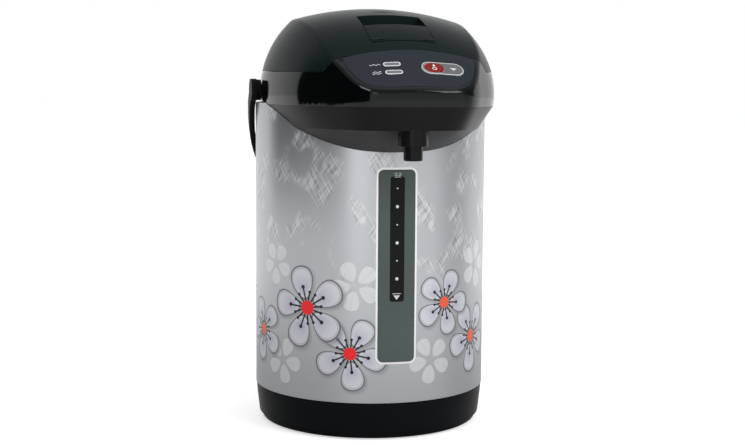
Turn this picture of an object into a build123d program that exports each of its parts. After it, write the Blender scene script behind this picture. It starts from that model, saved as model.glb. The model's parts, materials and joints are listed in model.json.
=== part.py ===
from build123d import *
from math import atan2, copysign, cos, degrees, exp, hypot, pi, radians, sin, sqrt
import os

# Electric thermo pot. Millimetres, +Z up, origin on the floor at the pot's axis, front towards -Y.
# Distances called "front" are measured forward from the axis, so they are -Y coordinates.

# Running and assembly clearances
running_fit = 0.05
slip_fit = 0.2
seam_gap = 0.5
body_gap = 0.3
through = 1.0

# Swivelling foot
pad_r = 80.0
pad_t = 1.5
swivel_r = 94.0
swivel_low = 1.0
swivel_t = 5.0
swivel_wall = 2.5
spigot_r = 10.0
clip_r = 13.0
clip_t = 1.5
swivel_edge_r = 1.5

# Base skirt
base_plate_t = 2.5
skirt_foot_r = 96.9
skirt_mid_r = 98.0
skirt_mid_z = 15.0
skirt_waist_r = 99.0
skirt_waist_z = 24.0
skirt_top_r = 99.5
skirt_wall = 2.5
shelf_bore_r = 80.0
shelf_t = 2.5
case_guide_h = 6.0
boss_r = 4.0
boss_ring_r = 86.0
screw_r = 1.5
screw_head_r = 3.0
screw_head_t = 1.8
screw_bite = 8.0
boss_count = 4
boss_start_deg = 45.0

# Power inlet and power board
inlet_w = 34.0
inlet_h = 15.0
inlet_depth = 15.0
inlet_wall = 3.0
inlet_floor_z = 11.5
socket_depth = 11.0
prong_r = 2.0
prong_pitch = 13.0
prong_l = 8.0
board_t = 1.6
power_board_w = 62.0
power_board_l = 36.0
power_board_y = 46.0
power_board_rise = 5.0
transformer_w = 26.0
transformer_h = 14.0
relay_w = 15.6
relay_l = 20.8
relay_h = 11.2
board_post_x = 24.8
board_post_y = 12.6

# Outer case
case_r = 100.0
case_wall = 0.8
case_bottom_z = 32.0
case_top_z = 276.5

# Water vessel
vessel_r = 81.0
vessel_wall = 1.0
vessel_floor_z = 63.0
vessel_top_z = 262.0
vessel_corner_r = 9.0
flange_r = 85.5
shield_r = 92.0
shield_wall = 0.6
shield_top_z = 236.0
shield_open_deg = 35.0
rod_r = 2.0
rod_ring_r = 88.6
rod_count = 3
rod_start_deg = 60.0

# Heaters and sensors on the vessel
band_t = 2.0
boil_low_z = 78.0
boil_h = 34.0
warm_low_z = 120.0
warm_h = 14.0
clamp_w = 6.0
clamp_t = 0.8
thermostat_r = 9.0
thermostat_h = 8.0
thermostat_flange_r = 12.6
thermostat_x = 34.0
fuse_r = 2.5
fuse_l = 16.0
fuse_y = 38.0

# Pump and motor
pump_y = -40.0
pump_r = 24.0
pump_wall = 1.5
pump_low_z = 43.0
pump_cover_t = 3.0
pump_cover_z = 56.0
inlet_neck_r = 7.0
neck_bore_r = 5.0
inlet_neck_rise = 4.0
impeller_r = 18.0
impeller_low_z = 45.5
magnet_r = 12.0
magnet_t = 4.5
vane_h = 3.5
vane_t = 1.6
vane_count = 6
axle_r = 1.5
motor_r = 15.0
motor_low_z = 12.0
motor_h = 19.0
bracket_t = 1.6
bracket_half_w = 28.0
bracket_half_l = 17.0
post_r = 3.0
post_x = 21.5
drive_gap = 2.0

# Water path at the front
pipe_r = 5.0
pipe_bore_r = 3.5
outlet_z = 50.0
outlet_front = 76.0
tube_front = 91.5
tube_r = 4.5
tube_bore_r = 3.2
tube_low_z = 60.0
tube_high_z = 258.0
socket_r = 5.8
socket_l = 6.0
bend_r = 7.0
upper_pipe_z = 280.0
pipe_joint_front = 118.0
spout_front = 149.0
spout_tip_z = 234.0
spout_r = 7.5
spout_bore_r = 4.5
spout_edge_r = 1.2
collar_r = 11.65
collar_low_z = 245.4
collar_high_z = 273.0

# Water gauge on the case
trim_low_z = 66.5
trim_high_z = 223.8
trim_w = 30.4
trim_corner_r = 4.0
trim_rise = 1.0
trim_lap = 3.0
trim_lap_t = 1.6
window_low_z = 116.4
window_high_z = 218.6
window_w = 12.0
window_corner_r = 2.0
window_step = 0.6

# Head: outline at its widest, walls, crown and sloping panel
side_half = 96.5
front_reach = 168.5
outline_power = 2.15
outline_count = 24
outline_crowding = 0.35
corner_bulge = 6.0
corner_deg = 13.5
corner_spread_deg = 7.0
section_count = 6
widest_z = 285.0
side_arc_r = 83.5
front_gain = 0.6
parting_z = 275.5
head_top_z = 357.0
crown_r = 243.0
head_wall = 2.5
rim_r = 6.0
panel_front = 129.5
panel_z = 319.8
panel_slope = 38.6
panel_cross_r = 300.0

# Beak under the head, and the neck ring inside the case
beak_low_z = 238.2
beak_low_half = 62.0
beak_mid_z = 257.5
beak_mid_half = 83.0
beak_mid_front = 159.5
beak_mid_bulge = 4.0
beak_low_front = 100.0
neck_r = 98.8
neck_wall = 2.5
neck_rise = 2.0
shelf_z = 257.5
neck_drop_z = 241.0
pipe_port_half = 30.0

# Mouth of the vessel
collar_bore_r = 82.5
collar_wall = 2.7
seal_t = 2.0
deck_t = 2.5

# Lid seam, seen from the side
seam_z = 302.5
seam_back_front = 122.0
seam_top_front = 130.0
seam_top_z = 314.5

# Lid hinge
hinge_y = 91.0
hinge_pin_r = 1.5
knuckle_r = 4.0
knuckle_half = 20.0
knuckle_mid_half = 6.2
knuckle_gap = 0.4
hinge_notch = 5.0
hinge_web = 3.6
relief_r = 4.2

# Lid inner parts
lower_plate_t = 2.5
skirt_ring_r = 81.2
skirt_ring_in_r = 77.8
gasket_r = 82.0
gasket_t = 4.0
gasket_low_z = 290.8
dish_t = 0.8
dish_flange_r = 80.4
dish_top_r = 77.5
dish_low_r = 70.0
dish_low_z = 270.0
duct_r = 6.0
duct_bore_r = 4.5
vent_front = 46.0
vent_w = 20.0
vent_l = 7.0
vent_depth = 4.0
vent_slot_w = 16.0
vent_slot_l = 2.6
vent_throat_r = 2.2
dish_hole_r = 0.8
dish_hole_ring_r = 2.7
dish_hole_count = 5
lid_boss_x = 46.0
lid_boss_y = 34.0
lid_boss_r = 4.0

# Lid lever and latch
lever_half = 26.0
lever_back_front = 87.0
lever_tip_front = 115.6
lever_t = 2.4
pivot_front = 112.5
pivot_drop = 3.8
lever_hub_r = 3.0
lever_pin_r = 1.5
lever_tab_half = 5.0
lever_tab_t = 3.0
lever_tab_l = 15.6
lever_spring_x = 17.0
lever_spring_l = 6.0
spring_wire_r = 0.3
pocket_back_front = 60.5
pocket_tip_front = 116.2
pocket_swing_r = 5.3
pocket_floor_z = 321.0
pocket_wall = 2.0
bolt_half = 14.0
bolt_back_front = 97.0
bolt_tip_front = 119.0
bolt_t = 3.0
bolt_travel = 6.8
tongue_half = 8.0
tongue_t = 3.0
tongue_low_z = 297.5
toe_l = 1.4
toe_h = 1.6

# Control panel
plate_rim = 3.2
plate_half = 52.0
plate_t = 1.4
plate_proud = 0.3
bezel_u = 23.3
bezel_v = 23.2
bezel_l = 34.0
bezel_w = 14.2
bezel_proud = 0.7
bezel_lap = 1.0
button_u = 16.4
button_half_l = 7.8
button_half_w = 5.5
button_h = 9.0
button_proud = 0.8
button_travel = 1.5
button_flange_lap = 1.8
button_flange_t = 1.2
button_edge_r = 0.4
lamp_u = -16.2
lamp_v = 18.4
lamp_pitch = 9.8
lamp_l = 13.8
lamp_w = 4.9
lamp_t = 3.0
lamp_proud = 0.5
control_half = 38.0
control_high = 9.0
control_low = 37.0
control_depth = 14.0
switch_size = 6.0
switch_gap = 0.3
switch_body_h = 1.9
plunger_r = 1.8
led_r = 2.0
led_h = 5.0

# Carrying handle
handle_z = 287.0
handle_in_half = 100.6
handle_out_half = 105.5
handle_reach = 156.0
handle_band = 5.0
handle_w = 14.0
handle_power = 2.25
handle_points = 24
handle_drop_deg = 44.0
handle_eye_r = 9.5
handle_round = 2.0
pivot_pin_r = 4.0
pivot_flange_r = 8.8
pivot_root_half = 90.0
cap_t = 0.6
cap_r = 6.0

BASE = (Align.CENTER, Align.CENTER, Align.MIN)

base_plate_z = swivel_low + swivel_t + body_gap
skirt_foot_z = base_plate_z
skirt_shelf_z = case_bottom_z - shelf_t
plate_top_z = base_plate_z + base_plate_t
vessel_out_r = vessel_r + vessel_wall
collar_out_r = collar_bore_r + collar_wall
deck_top_z = seam_z - seam_gap / 2
deck_low_z = deck_top_z - deck_t
lid_low_z = seam_z + seam_gap / 2
pivot_z = head_top_z - crown_r + sqrt(crown_r**2 - pivot_front**2) - pivot_drop
bolt_z = pivot_z - lever_tab_l


def disc(radius, low, high, x=0.0, y=0.0):
    return Pos(x, y, low) * Cylinder(radius, high - low, align=BASE)


def ring(outer, inner, low, high, x=0.0, y=0.0):
    return disc(outer, low, high, x, y) - disc(inner, low - through, high + through, x, y)


def block(x_low, x_high, y_low, y_high, z_low, z_high):
    centre = Pos((x_low + x_high) / 2, (y_low + y_high) / 2, (z_low + z_high) / 2)
    return centre * Box(x_high - x_low, y_high - y_low, z_high - z_low)


def front_block(half, near, far, z_low, z_high):
    return block(-half, half, -far, -near, z_low, z_high)


def around(count, radius, start_deg):
    turns = [radians(start_deg + 360.0 * i / count) for i in range(count)]
    return [(radius * sin(turn), -radius * cos(turn)) for turn in turns]


def rod_x(radius, x_low, x_high, y, z):
    return Pos(x_low, y, z) * Rot(0, 90, 0) * Cylinder(radius, x_high - x_low, align=BASE)


def turned(points):
    """A solid of revolution about Z from (radius, height) points."""
    return revolve(Plane.XZ * make_face(Polyline(*points, close=True)), Axis.Z)


def on_panel(u, v, w):
    """A frame on the curved sloping panel: u round it to the right, v down the slope,
    w outwards from its surface."""
    plane = Plane(
        origin=(0, -panel_front, panel_z),
        x_dir=(1, 0, 0),
        z_dir=(0, -sin(radians(panel_slope)), cos(radians(panel_slope))),
    )
    turn = degrees(u / panel_cross_r)
    return plane.location * Pos(0, -v, -panel_cross_r) * Rot(0, turn, 0) * Pos(0, 0, panel_cross_r + w)


# ---------------------------------------------------------------- outlines of the head and beak

def outline_points(half, front, bulge, inset):
    """Points round the plan outline: an ellipse half behind, a superellipse half in front
    with two soft corners that stand out by bulge. Each point is moved inwards along its
    normal by inset(weight), where weight rises from 0 at the sides and back to 1 at the
    very front."""
    points = []
    for i in range(outline_count):
        turn = 2 * pi * i / outline_count
        turn += outline_crowding / 2 * sin(2 * turn)
        c, s = round(cos(turn), 12), round(sin(turn), 12)
        if s >= 0:
            x, y = half * c, half * s
            nx, ny = c, s
            weight = 0.0
        else:
            x = half * copysign(abs(c) ** (2 / outline_power), c)
            y = -front * abs(s) ** (2 / outline_power)
            nx = copysign(abs(x / half) ** (outline_power - 1) / half, x)
            ny = -abs(y / front) ** (outline_power - 1) / front
            weight = s * s * (3 + 2 * s)
        length = hypot(nx, ny)
        move = inset(weight)
        points.append(with_corner(x - nx / length * move, y - ny / length * move, bulge))
    return points


def with_corner(x, y, bulge):
    """A point of the outline, moved away from the axis where the front's corners are."""
    if y >= 0:
        return x, y
    off = (degrees(atan2(abs(x), -y)) - corner_deg) / corner_spread_deg
    grow = 1 + bulge * exp(-off * off) / hypot(x, y)
    return x * grow, y * grow


def outline_spans():
    """Where each point lies along the widest outline, so that all outlines match span for span."""
    points = outline_points(side_half, front_reach, corner_bulge, lambda weight: 0.0)
    spans = [0.0]
    for (x0, y0), (x1, y1) in zip(points, points[1:] + points[:1]):
        spans.append(spans[-1] + hypot(x1 - x0, y1 - y0))
    return [span / spans[-1] for span in spans]


def outline(z, half, front, bulge, inset):
    points = [Vector(x, y, z) for x, y in outline_points(half, front, bulge, inset)]
    return Face(Wire([Edge.make_spline(points, periodic=True, parameters=outline_spans())]))


def wall_lean(z):
    """How far the head's side wall has curved inwards at height z."""
    return side_arc_r - sqrt(side_arc_r**2 - (z - widest_z) ** 2)


def head_outline(z, skin):
    lean = wall_lean(z)
    inset = lambda weight: lean * (1 + front_gain * weight) + skin
    return outline(z, side_half, front_reach, corner_bulge, inset)


def head_walls(skin, low_z):
    sections = []
    for i in range(section_count):
        z = low_z + (head_top_z - low_z) * i / (section_count - 1)
        sections.append(head_outline(z, skin))
    return loft(sections)


def panel_barrel(skin):
    """The sloping panel is the top of a wide, gently curved barrel."""
    barrel = Rot(90, 0, 0) * Cylinder(panel_cross_r - skin, 2 * panel_cross_r)
    return on_panel(0, 0, -panel_cross_r) * barrel


def crown_ball(skin):
    return Pos(0, 0, head_top_z - crown_r) * Sphere(crown_r - skin)


def head_solid(skin, low_z):
    """Walls, crown and panel. Its three longest edges above the bottom, which run round the
    top and along the panel's low side, are rounded."""
    body = head_walls(skin, low_z) & crown_ball(skin) & panel_barrel(skin)
    return body.fillet(rim_r, body.edges().sort_by(SortBy.LENGTH)[-4:-1])


def seam_prism(gap, low_z=None):
    """Everything on the lid's side of the seam, seen from the side, moved back by gap.
    Its flat bottom lies at low_z, or gap above the seam."""
    back = -2 * side_half
    high = head_top_z + 2 * through
    low = seam_z + gap if low_z is None else low_z
    points = [
        (back, low),
        (seam_back_front - gap, low),
        (seam_back_front - gap, seam_z + gap),
        (seam_top_front - gap, seam_top_z + gap),
        (seam_top_front - gap, high),
        (back, high),
    ]
    if low_z is None:
        points.pop(1)
    face = make_face(Polyline(*[(0, -f, z) for f, z in points], close=True))
    return extrude(face, amount=2 * side_half, dir=(1, 0, 0), both=True)


def beak_loft(skin, top_z):
    """The beak's underside, a shallow and then a steep straight-sided loft; the skin moves
    it inwards."""
    low = outline(beak_low_z, beak_low_half, beak_low_front, 0, lambda weight: skin)
    mid = outline(beak_mid_z, beak_mid_half, beak_mid_front, beak_mid_bulge, lambda weight: skin)
    high = head_outline(parting_z, skin)
    solid = loft([low, mid, high], ruled=True)
    if top_z > parting_z:
        solid += extrude(high, amount=top_z - parting_z, dir=(0, 0, 1))
    return solid


# ---------------------------------------------------------------- foot and base

def anti_slip_pad():
    return disc(pad_r, 0, pad_t)


def swivel_base():
    top = swivel_low + swivel_t
    shell = disc(swivel_r, swivel_low, top)
    edge = shell.edges().group_by(Axis.Z)[0]
    shell = fillet(edge, swivel_edge_r)
    hollow = ring(pad_r - swivel_wall, spigot_r + swivel_wall, pad_t, top - swivel_wall)
    shell = shell - disc(pad_r + slip_fit, 0, pad_t) - hollow
    spigot = disc(spigot_r, top - swivel_wall, plate_top_z + body_gap)
    clip = disc(clip_r, plate_top_z + body_gap, plate_top_z + body_gap + clip_t)
    return shell + spigot + clip


def base_plate():
    plate = disc(skirt_foot_r - skirt_wall - slip_fit, base_plate_z, plate_top_z)
    plate -= disc(spigot_r + running_fit, 0, case_bottom_z)
    for x, y in around(boss_count, boss_ring_r, boss_start_deg):
        plate -= disc(screw_r + slip_fit, 0, case_bottom_z, x, y)
        plate -= disc(screw_head_r + slip_fit, 0, base_plate_z + screw_head_t, x, y)
    for x in (-board_post_x, board_post_x):
        for y in (power_board_y - board_post_y, power_board_y + board_post_y):
            plate += disc(screw_head_r, plate_top_z, plate_top_z + power_board_rise, x, y)
    return plate


def base_screws():
    screws = []
    for x, y in around(boss_count, boss_ring_r, boss_start_deg):
        head = disc(screw_head_r, base_plate_z, base_plate_z + screw_head_t, x, y)
        screws.append(head + disc(screw_r, base_plate_z, plate_top_z + screw_bite, x, y))
    return Compound(screws)


def base_skirt():
    outer = [
        (0, skirt_foot_z),
        (skirt_foot_r, skirt_foot_z),
        (skirt_mid_r, skirt_mid_z),
        (skirt_waist_r, skirt_waist_z),
        (skirt_top_r, case_bottom_z - through),
        (skirt_top_r, case_bottom_z),
        (0, case_bottom_z),
    ]
    inner = [
        (0, skirt_foot_z),
        (skirt_foot_r - skirt_wall, skirt_foot_z),
        (skirt_mid_r - skirt_wall, skirt_mid_z),
        (skirt_waist_r - skirt_wall, skirt_waist_z),
        (skirt_waist_r - skirt_wall, skirt_shelf_z),
        (0, skirt_shelf_z),
    ]
    skirt = turned(outer) - turned(inner)
    skirt -= disc(shelf_bore_r, skirt_shelf_z - through, case_bottom_z + through)
    guide_r = case_r - case_wall - body_gap
    skirt += ring(guide_r, guide_r - skirt_wall, case_bottom_z - through, case_bottom_z + case_guide_h)
    for x, y in around(boss_count, boss_ring_r, boss_start_deg):
        skirt += disc(boss_r, plate_top_z, case_bottom_z - through, x, y)
        skirt -= disc(screw_r, plate_top_z - through, plate_top_z + screw_bite, x, y)
    half = inlet_w / 2
    return skirt - block(-half, half, case_r - inlet_depth, case_r, inlet_floor_z, inlet_floor_z + inlet_h)


def power_inlet():
    half = inlet_w / 2 - slip_fit / 2
    low = inlet_floor_z + slip_fit / 2
    high = inlet_floor_z + inlet_h - slip_fit / 2
    face = skirt_foot_r
    body = block(-half, half, face - inlet_depth, face, low, high)
    mouth_half = half - inlet_wall
    near = face - socket_depth
    return body - block(-mouth_half, mouth_half, near, face + through, low + inlet_wall, high - inlet_wall)


def inlet_pins():
    z = inlet_floor_z + inlet_h / 2
    root = skirt_foot_r - socket_depth
    pin = Rot(-90, 0, 0) * Cylinder(prong_r, prong_l, align=BASE)
    return Compound([Pos(x, root, z) * pin for x in (-prong_pitch / 2, prong_pitch / 2)])


def power_board():
    low = plate_top_z + power_board_rise
    half = power_board_w / 2
    near = power_board_y - power_board_l / 2
    board = block(-half, half, near, near + power_board_l, low, low + board_t)
    core = Pos(-half / 2, power_board_y, low + board_t)
    core *= Box(transformer_w, transformer_w, transformer_h, align=BASE)
    relay = Pos(half / 2, power_board_y, low + board_t)
    relay *= Box(relay_w, relay_l, relay_h, align=BASE)
    return board + core + relay


# ---------------------------------------------------------------- case and water gauge

def gauge_prism(width, low, high, corner):
    """A rounded rectangle on the case's front, from inside the case out past the trim."""
    face = RectangleRounded(width, high - low, corner)
    plane = Plane(origin=(0, -tube_front, (low + high) / 2), x_dir=(1, 0, 0), z_dir=(0, -1, 0))
    return extrude(plane * face, amount=case_r + trim_rise + through - tube_front)


def gauge_slot(grow):
    return gauge_prism(trim_w + 2 * grow, trim_low_z - grow, trim_high_z + grow, trim_corner_r + grow)


def outer_case():
    wall = ring(case_r, case_r - case_wall, case_bottom_z, case_top_z)
    return wall - beak_loft(-body_gap, case_top_z + through) - gauge_slot(slip_fit)


def gauge_trim():
    skin_in = case_r - case_wall - slip_fit
    face = ring(case_r + trim_rise, skin_in - through, trim_low_z, trim_high_z) & gauge_slot(0)
    lap = ring(skin_in, skin_in - trim_lap_t, trim_low_z - trim_lap, trim_high_z + trim_lap)
    lap &= gauge_slot(trim_lap)
    return face + lap - gauge_prism(window_w, window_low_z, window_high_z, window_corner_r)


def gauge_window():
    fit = slip_fit / 2
    pane = gauge_prism(window_w - 2 * fit, window_low_z + fit, window_high_z - fit, window_corner_r)
    high = case_r + trim_rise - window_step
    return ring(high, case_r - case_wall - slip_fit - trim_lap_t, window_low_z, window_high_z) & pane


def gauge_tube():
    return ring(tube_r, tube_bore_r, tube_low_z, tube_high_z, 0, -tube_front)


# ---------------------------------------------------------------- vessel and what is fixed to it

def vessel_form(radius, low, high, corner):
    solid = disc(radius, low, high)
    return fillet(solid.edges().group_by(Axis.Z)[0], corner)


def inner_vessel():
    form = vessel_form(vessel_out_r, vessel_floor_z, vessel_top_z, vessel_corner_r + vessel_wall)
    flange = disc(flange_r, vessel_top_z - vessel_wall, vessel_top_z)
    hollow = vessel_form(vessel_r, vessel_floor_z + vessel_wall, vessel_top_z + through, vessel_corner_r)
    port = disc(inlet_neck_r + running_fit, vessel_floor_z - through, vessel_floor_z + 2 * through, 0, pump_y)
    return form + flange - hollow - port


def band(low, height):
    inner = vessel_out_r + running_fit
    full = ring(inner + band_t, inner, low, low + height)
    return full - front_block(clamp_w, 0, case_r, low - through, low + height + through)


def heater_clamps():
    straps = []
    for low, height in ((boil_low_z, boil_h), (warm_low_z, warm_h)):
        inner = vessel_out_r + running_fit + band_t + running_fit
        mid = low + height / 2
        strap = ring(inner + clamp_t, inner, mid - clamp_w / 2, mid + clamp_w / 2)
        straps.append(strap - front_block(clamp_w / 2, 0, case_r, low, low + height))
    return Compound(straps)


def thermostat():
    body = disc(thermostat_r, vessel_floor_z - thermostat_h, vessel_floor_z, thermostat_x, 0)
    flange = disc(thermostat_flange_r, vessel_floor_z - board_t, vessel_floor_z, thermostat_x, 0)
    return body + flange


def thermal_fuse():
    return rod_x(fuse_r, -fuse_l / 2, fuse_l / 2, fuse_y, vessel_floor_z - fuse_r)


def heat_shield():
    full = ring(shield_r + shield_wall, shield_r, case_bottom_z, shield_top_z)
    reach = 2 * shield_r
    angle = radians(shield_open_deg)
    corners = [(0, 0), (-reach * sin(angle), -reach * cos(angle)), (reach * sin(angle), -reach * cos(angle))]
    wedge = extrude(make_face(Polyline(*corners, close=True)), amount=head_top_z)
    return full - wedge


def tie_rods():
    places = around(rod_count, rod_ring_r, rod_start_deg)
    return Compound([disc(rod_r, case_bottom_z, shelf_z, x, y) for x, y in places])


# ---------------------------------------------------------------- pump, motor and water path

def pump_housing():
    cup = disc(pump_r, pump_low_z, pump_cover_z, 0, pump_y)
    cup -= disc(pump_r - 2 * pump_wall, pump_low_z + pump_wall, pump_cover_z + through, 0, pump_y)
    stub = Pos(0, pump_y - pump_r + 2 * pump_wall, outlet_z) * Rot(90, 0, 0)
    length = outlet_front + pump_y - pump_r + 2 * pump_wall
    cup += stub * Cylinder(pipe_r, length, align=BASE)
    bore = Pos(0, pump_y - pump_r + 3 * pump_wall, outlet_z) * Rot(90, 0, 0)
    cup -= bore * Cylinder(pipe_bore_r, length + 2 * pump_wall, align=BASE)
    return cup + disc(axle_r, pump_low_z, impeller_low_z + magnet_t + vane_h, 0, pump_y)


def pump_cover():
    cover = disc(pump_r, pump_cover_z, pump_cover_z + pump_cover_t, 0, pump_y)
    high = vessel_floor_z + inlet_neck_rise
    cover += disc(inlet_neck_r, pump_cover_z, high, 0, pump_y)
    return cover - disc(neck_bore_r, pump_cover_z - through, high + through, 0, pump_y)


def pump_impeller():
    top = impeller_low_z + magnet_t
    wheel = disc(magnet_r, impeller_low_z, top, 0, pump_y)
    for i in range(vane_count):
        vane = Box(impeller_r - 2 * axle_r, vane_t, vane_h, align=(Align.MIN, Align.CENTER, Align.MIN))
        wheel += Pos(0, pump_y, top) * Rot(0, 0, 360.0 * i / vane_count) * Pos(2 * axle_r, 0, 0) * vane
    wheel += disc(impeller_r, top, top + vane_t / 2, 0, pump_y)
    wheel += disc(3 * axle_r, top, top + vane_h, 0, pump_y)
    return wheel - disc(axle_r + running_fit, pump_low_z, pump_cover_z, 0, pump_y)


def motor_body():
    high = motor_low_z + motor_h
    can = disc(motor_r, motor_low_z, high, 0, pump_y)
    return can - disc(axle_r + running_fit, high - motor_h / 2, high + through, 0, pump_y)


def drive_rotor():
    magnet_high = pump_low_z - drive_gap
    shaft_low = motor_low_z + motor_h / 2 + through
    shaft = disc(axle_r, shaft_low, magnet_high, 0, pump_y)
    return shaft + disc(magnet_r, magnet_high - magnet_t, magnet_high, 0, pump_y)


def motor_bracket():
    low = motor_low_z + motor_h
    near, far = pump_y - bracket_half_l, pump_y + bracket_half_l
    plate = block(-bracket_half_w, bracket_half_w, near, far, low, low + bracket_t)
    plate -= disc(motor_r / 2, low - through, low + 2 * bracket_t, 0, pump_y)
    for x in (-post_x, post_x):
        plate += disc(post_r, low, pump_low_z, x, pump_y)
        plate -= disc(screw_r, low - through, pump_low_z + through, x, pump_y)
    return plate


def motor_screws():
    low = motor_low_z + motor_h
    screws = []
    for x in (-post_x, post_x):
        head = disc(screw_head_r, low - screw_head_t, low, x, pump_y)
        screws.append(head + disc(screw_r, low - screw_head_t, pump_low_z, x, pump_y))
    return Compound(screws)


def bent_pipe(points, outer, inner):
    """A pipe along straight runs joined by round bends."""
    path = FilletPolyline(*points, radius=bend_r)
    start = Plane(origin=path @ 0, z_dir=path % 0)
    return sweep(start * Circle(outer), path) - sweep(start * Circle(inner), path)


def lower_elbow():
    points = [(0, -outlet_front, outlet_z), (0, -tube_front, outlet_z), (0, -tube_front, tube_low_z)]
    elbow = bent_pipe(points, pipe_r, pipe_bore_r)
    return elbow + ring(socket_r, tube_r + running_fit, tube_low_z, tube_low_z + socket_l, 0, -tube_front)


def upper_elbow():
    points = [
        (0, -tube_front, tube_high_z),
        (0, -tube_front, upper_pipe_z),
        (0, -pipe_joint_front, upper_pipe_z),
    ]
    elbow = bent_pipe(points, pipe_r, pipe_bore_r)
    low = tube_high_z - socket_l
    return elbow + ring(socket_r, tube_r + running_fit, low, tube_high_z, 0, -tube_front)


def spout_pipe():
    points = [
        (0, -pipe_joint_front, upper_pipe_z),
        (0, -spout_front, upper_pipe_z),
        (0, -spout_front, collar_high_z - socket_l),
    ]
    return bent_pipe(points, pipe_r, pipe_bore_r)


def spout_nozzle():
    nozzle = disc(spout_r, spout_tip_z, collar_high_z, 0, -spout_front)
    nozzle = fillet(nozzle.edges().group_by(Axis.Z)[0], spout_edge_r)
    nozzle += disc(collar_r, collar_low_z, collar_high_z, 0, -spout_front)
    nozzle -= disc(spout_bore_r, spout_tip_z - through, collar_high_z, 0, -spout_front)
    seat = collar_high_z - socket_l
    return nozzle - disc(pipe_r + running_fit, seat, collar_high_z + through, 0, -spout_front)


# ---------------------------------------------------------------- beak, neck and mouth

def shoulder():
    """The beak's underside and the neck ring that stands inside the top of the case."""
    hollow = Pos(0, 0, neck_rise) * beak_loft(neck_wall, parting_z)
    skin = beak_loft(0, parting_z) - hollow
    skin -= disc(neck_r - neck_wall / 2, 0, head_top_z)
    neck = ring(neck_r, neck_r - neck_wall, shelf_z, parting_z)
    drop = ring(neck_r, neck_r - neck_wall, neck_drop_z, shelf_z + through)
    drop &= beak_loft(-3 * body_gap, parting_z)
    shelf = ring(neck_r, vessel_out_r + slip_fit, shelf_z, vessel_top_z - vessel_wall)
    port = front_block(pipe_port_half, tube_front, neck_r, vessel_top_z - vessel_wall, parting_z + through)
    body = skin + (neck + drop - port) + shelf - disc(socket_r + body_gap, 0, head_top_z, 0, -tube_front)
    for x, y in around(rod_count, rod_ring_r, rod_start_deg):
        body -= disc(rod_r, 0, shelf_z, x, y)
    return body - disc(collar_r + slip_fit, 0, head_top_z, 0, -spout_front)


def neck_seal():
    return ring(flange_r, vessel_r + 2 * vessel_wall, vessel_top_z, vessel_top_z + seal_t)


def mouth_collar():
    return ring(collar_out_r, collar_bore_r, vessel_top_z + seal_t, deck_low_z)


# ---------------------------------------------------------------- head

def hinge_space(radius_gap, low_z, high_z):
    half = knuckle_half + radius_gap
    return block(-half, half, hinge_y - knuckle_r - radius_gap, 2 * side_half, low_z, high_z)


def panel_prism(face, u, v, low, high):
    """A face on the panel at (u, v), drawn out square to it from w = low to w = high."""
    return on_panel(u, v, low) * extrude(face, amount=high - low)


def bezel_prism(grow, low, high):
    return panel_prism(SlotOverall(bezel_l + 2 * grow, bezel_w + 2 * grow), bezel_u, bezel_v, low, high)


def lamp_prisms(grow, low, high):
    slot = SlotOverall(lamp_l + 2 * grow, lamp_w + 2 * grow)
    return [panel_prism(slot, lamp_u, lamp_v + row * lamp_pitch, low, high) for row in (0, 1)]


def plate_bed(proud, near):
    """The panel's skin inside its rim, forward of near, raised by proud."""
    zone = front_block(plate_half, near, 2 * front_reach, parting_z, head_top_z)
    body = head_walls(plate_rim, parting_z) & zone & crown_ball(-proud) & panel_barrel(-proud)
    return body - panel_barrel(plate_t)


def head_frame(outer, inner):
    """The fixed band and beak, with a deck and a wall that follow the lid's seam."""
    hollow = inner - seam_prism(-seam_gap / 2 - deck_t)
    cuts = [hollow, seam_prism(-seam_gap / 2), disc(collar_bore_r, deck_low_z - through, head_top_z)]
    cuts.append(hinge_space(knuckle_gap, seam_z - hinge_notch, head_top_z))
    cuts.append(
        front_block(
            tongue_half + body_gap,
            tongue_front() - bolt_travel - 2 * body_gap,
            tongue_front() + tongue_t + toe_l + 2 * body_gap,
            deck_low_z - through,
            deck_top_z + through,
        )
    )
    relief_half = sqrt(side_half**2 - hinge_y**2) + body_gap
    cuts.append(rod_x(relief_r, -relief_half, relief_half, hinge_y, seam_z))
    for side in (-1, 1):
        low, high = sorted((side * pivot_root_half, side * (side_half + through)))
        cuts.append(rod_x(pivot_pin_r + slip_fit, low, high, 0, handle_z))
    room = 4 * head_wall
    cuts.append(plate_bed(room, seam_top_front))
    cuts.append(bezel_prism(-bezel_lap, -room, room))
    cuts += lamp_prisms(slip_fit, -room, room)
    return outer.cut(*cuts)


def tongue_front():
    return bolt_tip_front - tongue_t


def block_all(low, high):
    return block(-2 * side_half, 2 * side_half, -2 * front_reach, 2 * side_half, low, high)


def panel_plate():
    room = 4 * head_wall
    plate = plate_bed(plate_proud, seam_top_front + seam_gap / 2)
    return plate.cut(bezel_prism(slip_fit, -room, room), *lamp_prisms(slip_fit, -room, room))


def button_prism(grow, low, high):
    return panel_prism(Ellipse(button_half_l + grow, button_half_w + grow), button_u, bezel_v, low, high)


def button_bezel():
    room = 4 * head_wall
    return bezel_prism(0, -plate_t, bezel_proud) - button_prism(body_gap, -room, room)


def lamp_lenses():
    return Compound(lamp_prisms(0, -lamp_t, lamp_proud))


def dispense_button():
    high = bezel_proud + button_proud
    cap = button_prism(0, high - button_h, high)
    normal = Axis((0, 0, 0), (0, -sin(radians(panel_slope)), cos(radians(panel_slope))))
    cap = fillet(cap.faces().sort_by(normal)[-1].edges(), button_edge_r)
    low = -plate_t - head_wall - button_flange_t - body_gap
    return cap + button_prism(button_flange_lap, low, low + button_flange_t)


def control_board():
    middle = (control_high + control_low) / 2
    face = Rectangle(2 * control_half, control_low - control_high)
    return panel_prism(face, 0, middle, -control_depth, board_t - control_depth)


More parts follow.
